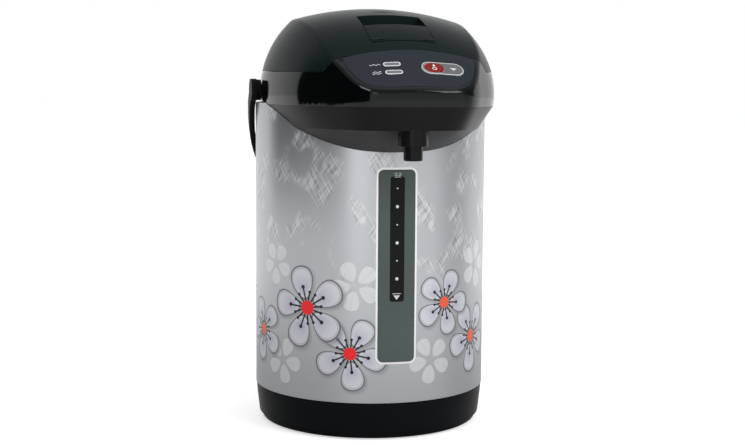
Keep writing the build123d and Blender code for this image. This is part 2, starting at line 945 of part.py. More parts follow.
def tact_switch():
    """The plunger ends short of the pressed button, whose foot leans with the curved panel."""
    base = board_t - control_depth
    lean = button_u / panel_cross_r
    pressed = panel_cross_r + bezel_proud + button_proud - button_h - button_travel
    foot = (pressed - (button_u + plunger_r) * sin(lean)) / cos(lean) - panel_cross_r
    body = Box(switch_size, switch_size, switch_body_h, align=BASE)
    plunger = Cylinder(plunger_r, foot - switch_gap - base, align=BASE)
    return on_board(button_u, bezel_v, base) * (body + plunger)


def lamp_leds():
    base = board_t - control_depth
    led = Cylinder(led_r, led_h, align=BASE)
    return Compound([on_board(lamp_u, lamp_v + row * lamp_pitch, base) * led for row in (0, 1)])


def on_board(u, v, w):
    """A frame on the flat control board, which lies square under the middle of the panel."""
    return on_panel(0, v, w) * Pos(u, 0, 0)


# ---------------------------------------------------------------- lid hinge

def hinge_bracket():
    bracket = rod_x(knuckle_r, -knuckle_half, knuckle_half, hinge_y, seam_z)
    web_low = seam_z - 4 * knuckle_r
    foot_y = hinge_y - knuckle_r
    bracket += block(-knuckle_half, knuckle_half, foot_y, foot_y + hinge_web, web_low, seam_z)
    half = knuckle_mid_half + knuckle_gap
    room = knuckle_r + knuckle_gap
    bracket -= block(-half, half, foot_y - room, hinge_y + 2 * room, seam_z - room, seam_z + 2 * room)
    wall_y = sqrt((side_half - head_wall) ** 2 - knuckle_half**2) - body_gap
    bracket += block(-knuckle_half, knuckle_half, foot_y, wall_y, web_low, web_low + hinge_web)
    return bracket - rod_x(hinge_pin_r, -2 * knuckle_half, 2 * knuckle_half, hinge_y, seam_z)


def hinge_pin():
    return rod_x(hinge_pin_r, -knuckle_half, knuckle_half, hinge_y, seam_z)


def lid_knuckle():
    knuckle = rod_x(knuckle_r, -knuckle_mid_half, knuckle_mid_half, hinge_y, seam_z)
    near = hinge_y - 3 * knuckle_r
    web = block(-knuckle_mid_half, knuckle_mid_half, near, hinge_y, lid_low_z, lid_low_z + lower_plate_t)
    bore = rod_x(hinge_pin_r + running_fit, -knuckle_half, knuckle_half, hinge_y, seam_z)
    return knuckle + web, bore


# ---------------------------------------------------------------- lid

def pocket_voids():
    """The lever's pocket, and the round room under the lid's lip in which its front edge turns."""
    half = lever_half + seam_gap
    pocket = front_block(half, pocket_back_front, pocket_tip_front, pocket_floor_z, 2 * head_top_z)
    return [pocket, rod_x(pocket_swing_r, -half, half, -pivot_front, pivot_z)]


def boss_places():
    return [(x, y) for x in (-lid_boss_x, lid_boss_x) for y in (-lid_boss_y, lid_boss_y)]


def lid_cover(outer, inner):
    region = seam_prism(seam_gap / 2)
    box = front_block(
        lever_half + seam_gap + pocket_wall,
        pocket_back_front - pocket_wall,
        pivot_front + pocket_swing_r + pocket_wall,
        pocket_floor_z - pocket_wall,
        head_top_z,
    )
    boss_low = lid_low_z + lower_plate_t
    kept = [box]
    for x, y in boss_places():
        post = block(x - lid_boss_r, x + lid_boss_r, y - lid_boss_r, y + lid_boss_r, boss_low, head_top_z)
        kept.append(post - disc(screw_r, boss_low - through, boss_low + screw_bite, x, y))
    hollow = (inner & seam_prism(seam_gap / 2 + head_wall, lid_low_z - through)).cut(*kept)
    tab_slot = front_block(
        lever_tab_half + through,
        pivot_front - 2 * lever_tab_t - bolt_travel,
        pivot_front + lever_tab_t,
        pocket_floor_z - 2 * pocket_wall,
        pocket_floor_z + through,
    )
    half = lever_half + pocket_wall
    cuts = [hollow, *pocket_voids(), tab_slot, rod_x(lever_pin_r, -half, half, -pivot_front, pivot_z)]
    cuts += [vent_block(slip_fit, head_top_z), hinge_space(knuckle_gap, 0, seam_z + knuckle_r + knuckle_gap)]
    return (outer & region).cut(*cuts)


def vent_block(grow, high):
    half_l = vent_l / 2 + grow
    low = head_top_z - 3 * vent_depth
    return front_block(vent_w / 2 + grow, vent_front - half_l, vent_front + half_l, low, high)


def lid_lower(inner):
    slab = block_all(lid_low_z, lid_low_z + lower_plate_t)
    slab -= front_block(2 * side_half, seam_back_front - head_wall - seam_gap, 2 * front_reach, 0, head_top_z)
    plate = inner & slab
    plate += ring(skirt_ring_r, skirt_ring_in_r, gasket_low_z + gasket_t, lid_low_z + through)
    plate -= hinge_space(knuckle_gap, 0, seam_z + knuckle_r + knuckle_gap)
    knuckle, bore = lid_knuckle()
    tongue_slot = front_block(
        tongue_half + body_gap,
        tongue_front() - bolt_travel - body_gap,
        tongue_front() + tongue_t + toe_l + body_gap,
        0,
        head_top_z,
    )
    cuts = [bore, tongue_slot, disc(duct_r + slip_fit, 0, head_top_z, 0, -vent_front)]
    cuts += [disc(screw_r + slip_fit, 0, head_top_z, x, y) for x, y in boss_places()]
    return (plate + knuckle).cut(*cuts)


def lid_screws():
    screws = []
    for x, y in boss_places():
        head = disc(screw_head_r, lid_low_z - screw_head_t, lid_low_z, x, y)
        screws.append(head + disc(screw_r, lid_low_z - through, lid_low_z + lower_plate_t + screw_bite, x, y))
    return Compound(screws)


def inner_lid():
    flange_z = gasket_low_z - dish_t
    points = [
        (0, dish_low_z),
        (dish_low_r, dish_low_z),
        (dish_top_r, flange_z),
        (dish_flange_r, flange_z),
        (dish_flange_r, flange_z + dish_t),
        (dish_top_r - dish_t, flange_z + dish_t),
        (dish_low_r - dish_t, dish_low_z + dish_t),
        (0, dish_low_z + dish_t),
    ]
    dish = turned(points)
    for x, y in around(dish_hole_count, dish_hole_ring_r, 0):
        dish -= disc(dish_hole_r, 0, head_top_z, x, y - vent_front)
    return dish


def lid_gasket():
    return ring(gasket_r, skirt_ring_in_r - through, gasket_low_z, gasket_low_z + gasket_t)


def steam_duct():
    return ring(duct_r, duct_bore_r, dish_low_z + dish_t, vent_low_z(), 0, -vent_front)


def vent_low_z():
    return head_top_z - 3 * vent_depth


def steam_vent(outer):
    cap = vent_block(0, 2 * head_top_z) & outer
    half = vent_slot_l / 2
    low = vent_low_z() + vent_depth
    slot = front_block(vent_slot_w / 2, vent_front - half, vent_front + half, low, 2 * head_top_z)
    throat = disc(vent_throat_r, 0, head_top_z, 0, -vent_front)
    return cap - slot - throat


def lid_lever():
    cover = front_block(lever_half, lever_back_front, lever_tip_front, pocket_floor_z, head_top_z)
    plate = (cover & crown_ball(0)) - crown_ball(lever_t)
    hub = rod_x(lever_hub_r, -lever_half, lever_half, -pivot_front, pivot_z)
    web_front = pivot_front - lever_hub_r
    web = front_block(lever_half, web_front, lever_tip_front, pivot_z, head_top_z) & crown_ball(0)
    tab_half_t = lever_tab_t / 2
    tab = front_block(
        lever_tab_half, pivot_front - tab_half_t, pivot_front + tab_half_t, pivot_z - lever_tab_l, pivot_z
    )
    cuts = [rod_x(lever_pin_r + running_fit, -2 * lever_half, 2 * lever_half, -pivot_front, pivot_z)]
    for x in (-lever_spring_x, lever_spring_x):
        half = lever_spring_l / 2 + body_gap
        reach = spring_out_r() + slip_fit
        low, high = pivot_z - lever_hub_r - through, pivot_z + reach
        cuts.append(block(x - half, x + half, -pivot_front - reach, -pivot_front + reach, low, high))
    return plate.fuse(hub, web, tab).cut(*cuts)


def lever_pin():
    half = lever_half + pocket_wall
    return rod_x(lever_pin_r, -half, half, -pivot_front, pivot_z)


def spring_out_r():
    return lever_pin_r + running_fit + 2 * spring_wire_r


def lever_spring():
    """Two short coils on the lever's pin, each a close-wound sleeve."""
    coils = []
    for x in (-lever_spring_x, lever_spring_x):
        low, high = x - lever_spring_l / 2, x + lever_spring_l / 2
        sleeve = rod_x(spring_out_r(), low, high, -pivot_front, pivot_z)
        bore = rod_x(lever_pin_r + running_fit, low - through, high + through, -pivot_front, pivot_z)
        coils.append(sleeve - bore)
    return Compound(coils)


def latch_bolt():
    high = bolt_z + bolt_t
    plate = front_block(bolt_half, bolt_back_front, bolt_tip_front, bolt_z, high)
    near = pivot_front - lever_tab_t / 2 - body_gap
    far = pivot_front + lever_tab_t / 2 + body_gap
    plate -= front_block(lever_tab_half + body_gap, near, far + through, bolt_z - through, high + through)
    front = tongue_front()
    plate += front_block(tongue_half, front, front + tongue_t, tongue_low_z, high)
    toe = front_block(tongue_half, front, front + tongue_t + toe_l, tongue_low_z, tongue_low_z + toe_h)
    return plate + toe


# ---------------------------------------------------------------- carrying handle

def handle_curve(half, reach):
    points = []
    for i in range(handle_points + 1):
        turn = pi * i / handle_points
        c, s = round(cos(turn), 12), sin(turn)
        x = half * copysign(abs(c) ** (2 / handle_power), c) if c else 0.0
        points.append((x, reach * abs(s) ** (2 / handle_power)))
    return points


def handle_plane():
    drop = radians(handle_drop_deg)
    return Plane(origin=(0, 0, handle_z), x_dir=(1, 0, 0), z_dir=(0, sin(drop), cos(drop)))


def bow(half, reach):
    curve = Spline(*handle_curve(half, reach), tangents=[(0, 1), (0, -1)])
    return make_face([curve, Line(curve @ 1, curve @ 0)])


def bail_handle():
    outer = bow(handle_out_half, handle_reach)
    inner = bow(handle_out_half - handle_band, handle_reach - handle_band)
    loop = Pos(0, 0, -handle_w / 2) * extrude(outer - inner, amount=handle_w)
    loop = loop.fillet(handle_round, loop.edges().sort_by(SortBy.LENGTH)[-4:])
    loop = handle_plane().location * loop
    for side in (-1, 1):
        low, high = sorted((side * handle_in_half, side * handle_out_half))
        loop += rod_x(handle_eye_r, low, high, 0, handle_z)
    bore = rod_x(pivot_pin_r + running_fit, -2 * side_half, 2 * side_half, 0, handle_z)
    return loop.cut(bore, *cap_discs())


def handle_pivots():
    pivots = []
    for side in (-1, 1):
        low, high = sorted((side * (side_half + seam_gap), side * (handle_in_half - body_gap)))
        flange = rod_x(pivot_flange_r, low, high, 0, handle_z)
        low, high = sorted((side * pivot_root_half, side * (handle_out_half - cap_t - body_gap)))
        pivots.append(flange + rod_x(pivot_pin_r, low, high, 0, handle_z))
    return Compound(pivots)


def cap_discs():
    discs = []
    for side in (-1, 1):
        low, high = sorted((side * (handle_out_half - cap_t), side * handle_out_half))
        discs.append(rod_x(cap_r, low, high, 0, handle_z))
    return discs


def handle_caps():
    return Compound(cap_discs())


# ---------------------------------------------------------------- all pieces, one node each

def pieces():
    outer = head_solid(0, parting_z)
    inner = head_solid(head_wall, parting_z - through)
    return {
        "anti_slip_pad": anti_slip_pad(),
        "swivel_base": swivel_base(),
        "base_plate": base_plate(),
        "base_screws": base_screws(),
        "base_skirt": base_skirt(),
        "power_inlet": power_inlet(),
        "inlet_pins": inlet_pins(),
        "power_board": power_board(),
        "outer_case": outer_case(),
        "gauge_trim": gauge_trim(),
        "gauge_window": gauge_window(),
        "gauge_tube": gauge_tube(),
        "inner_vessel": inner_vessel(),
        "boil_heater": band(boil_low_z, boil_h),
        "warm_heater": band(warm_low_z, warm_h),
        "heater_clamps": heater_clamps(),
        "thermostat": thermostat(),
        "thermal_fuse": thermal_fuse(),
        "heat_shield": heat_shield(),
        "tie_rods": tie_rods(),
        "pump_housing": pump_housing(),
        "pump_cover": pump_cover(),
        "pump_impeller": pump_impeller(),
        "motor_body": motor_body(),
        "drive_rotor": drive_rotor(),
        "motor_bracket": motor_bracket(),
        "motor_screws": motor_screws(),
        "lower_elbow": lower_elbow(),
        "upper_elbow": upper_elbow(),
        "spout_pipe": spout_pipe(),
        "spout_nozzle": spout_nozzle(),
        "shoulder": shoulder(),
        "neck_seal": neck_seal(),
        "mouth_collar": mouth_collar(),
        "head_frame": head_frame(outer, inner),
        "panel_plate": panel_plate(),
        "button_bezel": button_bezel(),
        "lamp_lenses": lamp_lenses(),
        "dispense_button": dispense_button(),
        "control_board": control_board(),
        "tact_switch": tact_switch(),
        "lamp_leds": lamp_leds(),
        "hinge_bracket": hinge_bracket(),
        "hinge_pin": hinge_pin(),
        "lid_cover": lid_cover(outer, inner),
        "lid_lower": lid_lower(inner),
        "lid_screws": lid_screws(),
        "inner_lid": inner_lid(),
        "lid_gasket": lid_gasket(),
        "steam_duct": steam_duct(),
        "steam_vent": steam_vent(outer),
        "lid_lever": lid_lever(),
        "lever_pin": lever_pin(),
        "lever_spring": lever_spring(),
        "latch_bolt": latch_bolt(),
        "bail_handle": bail_handle(),
        "handle_pivots": handle_pivots(),
        "handle_caps": handle_caps(),
    }


os.makedirs("parts", exist_ok=True)
for node, solid in pieces().items():
    export_step(solid, f"parts/{node}.step")
    print(node, round(solid.volume, 1))
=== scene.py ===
"""The looks of an electric thermo pot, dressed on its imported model. Metres, +Z up, front towards -Y."""

import json
from math import cos, pi, radians, sin

import bmesh
import bpy
from mathutils import Matrix, Vector


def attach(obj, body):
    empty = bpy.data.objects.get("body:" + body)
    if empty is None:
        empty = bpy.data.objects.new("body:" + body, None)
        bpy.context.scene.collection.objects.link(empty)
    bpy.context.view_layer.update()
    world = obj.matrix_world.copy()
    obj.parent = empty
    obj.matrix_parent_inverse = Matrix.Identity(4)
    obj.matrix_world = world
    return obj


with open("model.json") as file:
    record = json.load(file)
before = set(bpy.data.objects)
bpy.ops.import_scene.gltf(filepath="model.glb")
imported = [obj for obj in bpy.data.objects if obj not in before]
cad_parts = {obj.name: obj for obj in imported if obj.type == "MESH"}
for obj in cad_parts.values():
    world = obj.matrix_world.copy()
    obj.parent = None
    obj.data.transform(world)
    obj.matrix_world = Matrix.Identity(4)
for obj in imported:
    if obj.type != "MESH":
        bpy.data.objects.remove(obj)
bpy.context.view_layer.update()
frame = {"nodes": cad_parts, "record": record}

mm = 0.001

# Camera: a low three-quarter view, a little to the left of the pot's front
camera_turn = radians(13.0)
camera_side = 0.0025
camera_distance = 1.2
camera_height = 0.296
camera_pitch = radians(5.95)
camera_roll = radians(0.37)
camera_lens = 66.06
camera_sensor = 36.0

# Sloping control panel: a point on it and its slope; u runs across it and v down it
panel_origin = (0.0, -129.5, 319.8)
panel_slope = radians(38.6)
lamp_u = -16.2
lamp_rows = (18.4, 28.2)
lamp_straight = 8.9
lamp_radius = 2.45
bezel_u = 23.3
bezel_v = 23.2
bezel_straight = 19.8
bezel_radius = 7.1
button_u = 16.4
button_half_length = 7.8
button_half_width = 5.5
button_ring = 0.9
panel_mark_u = -29.5
arrow_mark_u = 32.0

# Case print and the painted highlight round the gauge trim, in millimetres round the case from its front
# and up it
case_radius = 100.0
print_repeat = 314.16
trim_middle = 145.15
trim_half_height = 78.65
trim_half_width = 15.2
trim_corner = 4.0
border_width = 1.9

# Gauge: heights of its dots, small and large in turn, and of the refill arrow
window_front = 100.4
trim_front = 101.0
dot_heights = (209.0, 194.2, 179.4, 164.6, 150.0, 135.2)
dot_radii = (0.65, 1.3)
dot_corners = 20
arrow_height = 121.5
arrow_half = 2.8
arrow_drop = 3.6
bar_half = 3.4
bar_rise = 1.4
bar_width = 0.5
numeral_height = 219.7
numeral_half = 1.6
numeral_stroke = 0.4
mark_rise = 0.06

edge_radius = 0.5 * mm


# ---------------------------------------------------------------- shader formulas

class Formula:
    """A number that varies over a surface, written as shader maths."""

    def __init__(self, tree, socket):
        self.tree = tree
        self.socket = socket

    def op(self, operation, *others):
        node = self.tree.nodes.new("ShaderNodeMath")
        node.operation = operation
        for place, value in zip(node.inputs, (self, *others)):
            join(self.tree, value, place)
        return Formula(self.tree, node.outputs[0])

    def __add__(self, other):
        return self.op("ADD", other)

    def __sub__(self, other):
        return self.op("SUBTRACT", other)

    def __mul__(self, other):
        return self.op("MULTIPLY", other)

    def __truediv__(self, other):
        return self.op("DIVIDE", other)

    def __neg__(self):
        return self.op("MULTIPLY", -1.0)

    def __abs__(self):
        return self.op("ABSOLUTE")

    def over(self, other):
        """The angle whose tangent is this number over the other."""
        return self.op("ARCTAN2", other)

    def fold(self, span):
        """Swings between 0 and span."""
        return self.op("PINGPONG", span)

    def sine(self):
        return self.op("SINE")

    def cosine(self):
        return self.op("COSINE")

    def length(self, other):
        return (self * self + other * other).op("SQRT")

    def least(self, other):
        return self.op("MINIMUM", other)

    def most(self, other):
        return self.op("MAXIMUM", other)

    def step(self, start, end):
        """0 before start, 1 after end, smooth between; start may be the larger."""
        node = self.tree.nodes.new("ShaderNodeMapRange")
        node.interpolation_type = "SMOOTHSTEP"
        low, high = (start, end) if start < end else (end, start)
        out_low, out_high = (0.0, 1.0) if start < end else (1.0, 0.0)
        for value, place in zip((self, low, high, out_low, out_high), node.inputs):
            join(self.tree, value, place)
        return Formula(self.tree, node.outputs[0])


def join(tree, value, place):
    """Sets a socket to a constant, or links a formula or socket to it."""
    if isinstance(value, Formula):
        tree.links.new(value.socket, place)
    elif isinstance(value, bpy.types.NodeSocket):
        tree.links.new(value, place)
    elif isinstance(value, tuple) and len(value) == 3 and len(place.default_value) == 4:
        place.default_value = (*value, 1.0)
    else:
        place.default_value = value


class Finish:
    """One node material, with the point on the object as x, y and z formulas in metres."""

    def __init__(self, name):
        self.material = bpy.data.materials.new(name)
        self.material.use_nodes = True
        self.tree = self.material.node_tree
        self.shader = self.tree.nodes["Principled BSDF"]
        self.point = self.tree.nodes.new("ShaderNodeTexCoord").outputs["Object"]
        split = self.tree.nodes.new("ShaderNodeSeparateXYZ")
        self.tree.links.new(self.point, split.inputs[0])
        self.x, self.y, self.z = (Formula(self.tree, out) for out in split.outputs)

    def set(self, **values):
        for name, value in values.items():
            join(self.tree, value, self.shader.inputs[name.replace("_", " ")])
        return self

    def vector(self, x, y, z):
        node = self.tree.nodes.new("ShaderNodeCombineXYZ")
        for value, place in zip((x, y, z), node.inputs):
            join(self.tree, value, place)
        return node.outputs[0]

    def noise(self, scale, detail=2.0, rough=0.5, at=None):
        node = self.tree.nodes.new("ShaderNodeTexNoise")
        join(self.tree, at or self.point, node.inputs["Vector"])
        join(self.tree, scale, node.inputs["Scale"])
        join(self.tree, detail, node.inputs["Detail"])
        join(self.tree, rough, node.inputs["Roughness"])
        return Formula(self.tree, node.outputs[0])

    def mix(self, share, first, second):
        """The colour first, turning to second as share goes from 0 to 1."""
        node = self.tree.nodes.new("ShaderNodeMix")
        node.data_type = "RGBA"
        for value, place in ((share, 0), (first, 6), (second, 7)):
            join(self.tree, value, node.inputs[place])
        return node.outputs[2]

    def bump(self, height, distance, strength=1.0):
        """Raises the surface by height times distance, in metres, on softly rounded edges."""
        node = self.tree.nodes.new("ShaderNodeBump")
        join(self.tree, height, node.inputs["Height"])
        join(self.tree, distance, node.inputs["Distance"])
        join(self.tree, strength, node.inputs["Strength"])
        join(self.tree, self.edge_normal(), node.inputs["Normal"])
        return self.set(Normal=node.outputs[0])

    def edge_normal(self):
        node = self.tree.nodes.new("ShaderNodeBevel")
        node.samples = 4
        node.inputs["Radius"].default_value = edge_radius
        return node.outputs[0]


def between(share, low, high):
    """A number that goes from low to high as share goes from 0 to 1."""
    return share * (high - low) + low


# ---------------------------------------------------------------- plain finishes

def moulded(name, colour, rough, grain=0.03 * mm, grain_scale=2600.0, shine=0.5):
    """Moulded plastic: a fine spark-eroded grain, and colour and gloss that wander a little."""
    finish = Finish(name)
    cloud = finish.noise(18.0, 3.0)
    dark = tuple(0.86 * part for part in colour)
    light = tuple(min(1.0, 1.14 * part) for part in colour)
    finish.set(Base_Color=finish.mix(cloud, dark, light))
    finish.set(Roughness=between(cloud, rough - 0.04, rough + 0.04))
    finish.set(Specular_IOR_Level=shine, IOR=1.5)
    return finish.bump(finish.noise(grain_scale, 2.0), grain)


def metal(name, colour, rough, lay="z"):
    """Drawn or rolled metal, with fine lines that run round it (lay z) or along X (lay x)."""
    finish = Finish(name)
    stretch = {"z": (30.0, 30.0, 2400.0), "x": (30.0, 2400.0, 2400.0)}[lay]
    at = finish.vector(finish.x * stretch[0], finish.y * stretch[1], finish.z * stretch[2])
    lines = finish.noise(1.0, 3.0, 0.6, at)
    cloud = finish.noise(30.0, 3.0)
    dark = tuple(0.88 * part for part in colour)
    finish.set(Base_Color=finish.mix(cloud, dark, colour), Metallic=1.0)
    finish.set(Roughness=between(lines, rough - 0.06, rough + 0.08))
    return finish.bump(lines, 0.01 * mm)


def rubber(name, colour):
    finish = moulded(name, colour, 0.7, 0.05 * mm, 1500.0)
    return finish.set(Sheen_Weight=0.15)


def glass(name, colour, rough):
    finish = Finish(name)
    cloud = finish.noise(40.0, 2.0)
    light = tuple(min(1.0, 1.08 * part) for part in colour)
    finish.set(Base_Color=finish.mix(cloud, colour, light))
    finish.set(Roughness=between(cloud, rough, rough + 0.03))
    return finish.set(Transmission_Weight=1.0, IOR=1.47)


def smoked(name, colour, rough):
    """A dark clear pane through which only a little of what is behind it shows."""
    finish = glass(name, colour, rough)
    return finish.set(Transmission_Weight=0.05, Specular_IOR_Level=0.06)


# ---------------------------------------------------------------- printed case

silver = (0.465, 0.48, 0.495)
# white of the painted highlight round the gauge trim
trim_highlight_white = (0.97, 0.97, 0.97)
petal_pale = (0.66, 0.66, 0.71)
petal_lilac = (0.44, 0.44, 0.56)
petal_line = (0.13, 0.125, 0.14)
petal_shade = (0.24, 0.24, 0.26)
ghost_pale = (0.72, 0.73, 0.74)
stamen_black = (0.006, 0.006, 0.008)
heart_red = (0.86, 0.008, 0.012)
heart_orange = (0.90, 0.11, 0.035)

# Blossoms: place round the case and up it, radius, turn in degrees, colour of the heart
blossoms = (
    (-134.0, 84.0, 28.0, 31.0, heart_orange),
    (-38.0, 73.0, 31.0, 12.0, heart_red),
    (-76.0, 109.0, 35.0, 40.0, heart_red),
    (82.0, 80.0, 31.0, 22.0, heart_orange),
    (45.0, 113.0, 28.0, 5.0, heart_orange),
    (140.0, 112.0, 30.0, 50.0, heart_red),
)

# Paler blossoms without a heart: place, radius and turn
ghosts = (
    (-103.0, 62.0, 20.0, 8.0),
    (-34.0, 129.0, 21.0, 30.0),
    (-112.0, 143.0, 18.0, 20.0),
    (31.0, 66.0, 20.0, 25.0),
    (88.0, 141.0, 21.0, 0.0),
    (150.0, 60.0, 18.0, 14.0),
)


class Print:
    """Flat colours laid over one another, with the share of bare metal that still shows."""

    def __init__(self, finish, ground):
        self.finish = finish
        self.colour = ground
        self.bare = None

    def lay(self, share, colour, cover=1.0):
        self.colour = self.finish.mix(share * cover, self.colour, colour)
        kept = share * -cover + 1.0
        self.bare = kept if self.bare is None else self.bare * kept


def blossom_place(u, v, place_u, place_v, radius, turn):
    """Distance out from a blossom's heart, and the place along and beside its nearest petal."""
    across = (u - place_u) / radius
    up = (v - place_v) / radius
    out = across.length(up)
    aside = (up.over(across) + radians(turn)).fold(pi / 5)
    return out, aside, out * aside.cosine(), out * aside.sine()


def petal_edge(along, beside, shift=0.0):
    """0 at the middle of a round-tipped petal and 1 at its edge."""
    return ((along - 0.60 - shift) / 0.39).length(beside / (along * 0.27 + 0.13))


def draw_blossom(sheet, u, v, blossom):
    place_u, place_v, radius, turn, heart = blossom
    out, aside, along, beside = blossom_place(u, v, place_u, place_v, radius, turn)
    edge = petal_edge(along, beside)
    fall = petal_edge(*blossom_place(u, v, place_u + 1.4, place_v - 1.6, radius, turn)[2:])
    sheet.lay(fall.step(1.28, 0.92), petal_shade, 0.62)
    body = sheet.finish.mix(along.step(0.9, 0.25) * edge.step(1.0, 0.4), petal_pale, petal_lilac)
    inside = edge.step(1.03, 0.99)
    sheet.lay(inside, body, 0.9)
    line = abs(edge - 1.0).step(0.075, 0.035)
    inner_line = abs(edge - 0.87).step(0.04, 0.015) * along.step(0.40, 0.62)
    sheet.lay(line, petal_line, 0.9)
    sheet.lay(inner_line, petal_line, 0.40)
    spread = radians(24.0)
    slant = (aside - spread).sine() * out
    long_stem = beside.step(0.028, 0.014) * out.step(0.50, 0.47)
    short_stem = abs(slant).step(0.028, 0.014) * out.step(0.40, 0.37)
    long_dot = (along - 0.50).length(beside).step(0.056, 0.042)
    short_dot = (along - 0.38 * cos(spread)).length(beside - 0.38 * sin(spread)).step(0.044, 0.033)
    sheet.lay(long_stem.most(short_stem).most(long_dot).most(short_dot), stamen_black)
    sheet.lay(out.step(0.180, 0.160), heart)


def draw_ghost(sheet, u, v, ghost):
    along, beside = blossom_place(u, v, *ghost)[2:]
    vein = abs(beside).step(0.0, 0.05)
    sheet.lay(petal_edge(along, beside).step(1.03, 0.97) * between(vein, 0.8, 1.0), ghost_pale, 0.62)


def draw_strokes(sheet, u, v):
    """Patches of fine crossed brush strokes, pale with dark gaps."""
    finish = sheet.finish
    patch = finish.noise(1.0, 1.0, 0.5, finish.vector(u / 26.0, v / 34.0, 0.0)).step(0.50, 0.60)
    patch = patch * v.step(118.0, 150.0)
    for slope, seed in ((0.55, 3.0), (-0.75, 11.0)):
        across = (u + v * slope) / 2.0
        along = (v - u * slope) / 24.0
        lines = finish.noise(1.0, 1.0, 0.6, finish.vector(across, along, seed))
        sheet.lay(lines.step(0.50, 0.60) * patch, ghost_pale, 0.5)
        sheet.lay(lines.step(0.42, 0.34) * patch, petal_shade, 0.50)


def case_finish():
    """Satin silver with a printed ornament of five-petalled blossoms, and a white band round the water
    gauge painted as the highlight on the trim's raised edge."""
    finish = Finish("printed_silver")
    turn = finish.x.over(-finish.y)
    straight = turn * case_radius
    u = straight.op("WRAP", print_repeat / 2, -print_repeat / 2)
    v = finish.z * 1000.0
    cloud = finish.noise(9.0, 2.0)
    dark = tuple(0.96 * part for part in silver)
    sheet = Print(finish, finish.mix(cloud, dark, silver))
    draw_strokes(sheet, u, v)
    for ghost in ghosts:
        draw_ghost(sheet, u, v, ghost)
    for blossom in blossoms:
        draw_blossom(sheet, u, v, blossom)
    across = (abs(straight) - (trim_half_width - trim_corner)).most(0.0)
    up = (abs(v - trim_middle) - (trim_half_height - trim_corner)).most(0.0)
    edge = trim_corner + border_width
    # painted highlight: a white band round the gauge trim, where its raised edge would catch the light
    sheet.lay(across.length(up).step(edge + 0.2, edge - 0.2), trim_highlight_white)
    finish.set(Base_Color=sheet.colour, Metallic=between(sheet.bare, 0.25, 0.92))
    finish.set(Roughness=between(cloud, 0.29, 0.33))
    return finish.bump(finish.noise(3200.0, 2.0), 0.006 * mm)


# ---------------------------------------------------------------- control panel

def panel_place(finish):
    """Millimetres across the panel from its middle, and down its slope."""
    v = (finish.z * -1000.0 + panel_origin[2]) * sin(panel_slope)
    v = v + (finish.y * -1000.0 + panel_origin[1]) * cos(panel_slope)
    return finish.x * 1000.0, v


def pill(u, v, place_u, place_v, straight, radius):
    """0 along the middle of a round-ended bar and 1 at its edge."""
    return (abs(u - place_u) - straight / 2).most(0.0).length(v - place_v) / radius


def wave(u, v, place_u, place_v, half, height):
    """A short wavy line on the panel."""
    rise = ((u - place_u) * 1.6).sine() * height
    return abs(v - place_v - rise).step(0.42, 0.22) * abs(u - place_u).step(half + 0.2, half)


def panel_finish():
    """Blue-black panel skin. One wavy line stands beside the upper lamp, two beside the lower."""
    finish = moulded("panel_blue", (0.009, 0.016, 0.024), 0.34, shine=0.2)
    u, v = panel_place(finish)
    upper, lower = lamp_rows
    marks = wave(u, v, panel_mark_u, upper, 4.2, 0.55)
    for place in (lower - 1.0, lower + 1.0):
        marks = marks.most(wave(u, v, panel_mark_u, place, 3.4, 0.5))
    base = finish.shader.inputs["Base Color"].links[0].from_socket
    return finish.set(Base_Color=finish.mix(marks, base, (0.62, 0.63, 0.65)))


def lens_finish():
    """Grey lamp lenses, each with a pale rim inside its edge."""
    finish = moulded("lens_grey", (0.15, 0.165, 0.185), 0.25, 0.01 * mm, shine=0.2)
    u, v = panel_place(finish)
    edges = [pill(u, v, lamp_u, row, lamp_straight, lamp_radius) for row in lamp_rows]
    rim = edges[0].least(edges[1]).step(0.62, 0.72)
    base = finish.shader.inputs["Base Color"].links[0].from_socket
    return finish.set(Base_Color=finish.mix(rim, base, (0.74, 0.75, 0.76)))


def button_oval(u, v, grow):
    """0 at the middle of the key and 1 at its edge, or grow outside it."""
    across = (u - button_u) / (button_half_length + grow)
    return across.length((v - bezel_v) / (button_half_width + grow))


def bezel_finish():
    """Grey surround with a pale rim, a ring round the key and a small arrow beside it."""
    finish = moulded("bezel_grey", (0.13, 0.133, 0.14), 0.35, shine=0.2)
    u, v = panel_place(finish)
    rim = pill(u, v, bezel_u, bezel_v, bezel_straight, bezel_radius).step(0.87, 0.93)
    base = finish.shader.inputs["Base Color"].links[0].from_socket
    ring = button_oval(u, v, button_ring).step(1.0, 0.9)
    off = abs(u - arrow_mark_u)
    arrow = (off + v - bezel_v - 1.6).step(0.2, 0.0) * (v - bezel_v + 1.4).step(0.0, 0.2)
    base = finish.mix(rim.most(arrow), base, (0.62, 0.63, 0.64))
    return finish.set(Base_Color=finish.mix(ring, base, (0.78, 0.70, 0.70)))


def button_finish():
    """Red key with a drop over a ring as its sign."""
    finish = moulded("button_red", (0.22, 0.002, 0.003), 0.26, 0.01 * mm, shine=0.2)
    u, v = panel_place(finish)
    across, down = u - button_u, v - bezel_v
    ring = abs(across.length(down - 1.5) - 1.5).step(0.42, 0.25)
    drop = (across / ((down + 4.4) * 0.42)).length((down + 2.4) / 1.5)
    drop = drop.step(1.05, 0.9) * down.step(-0.7, -1.0)
    base = finish.shader.inputs["Base Color"].links[0].from_socket
    return finish.set(Base_Color=finish.mix(ring.most(drop), base, (0.82, 0.76, 0.75)))


# ---------------------------------------------------------------- finishes by material slot

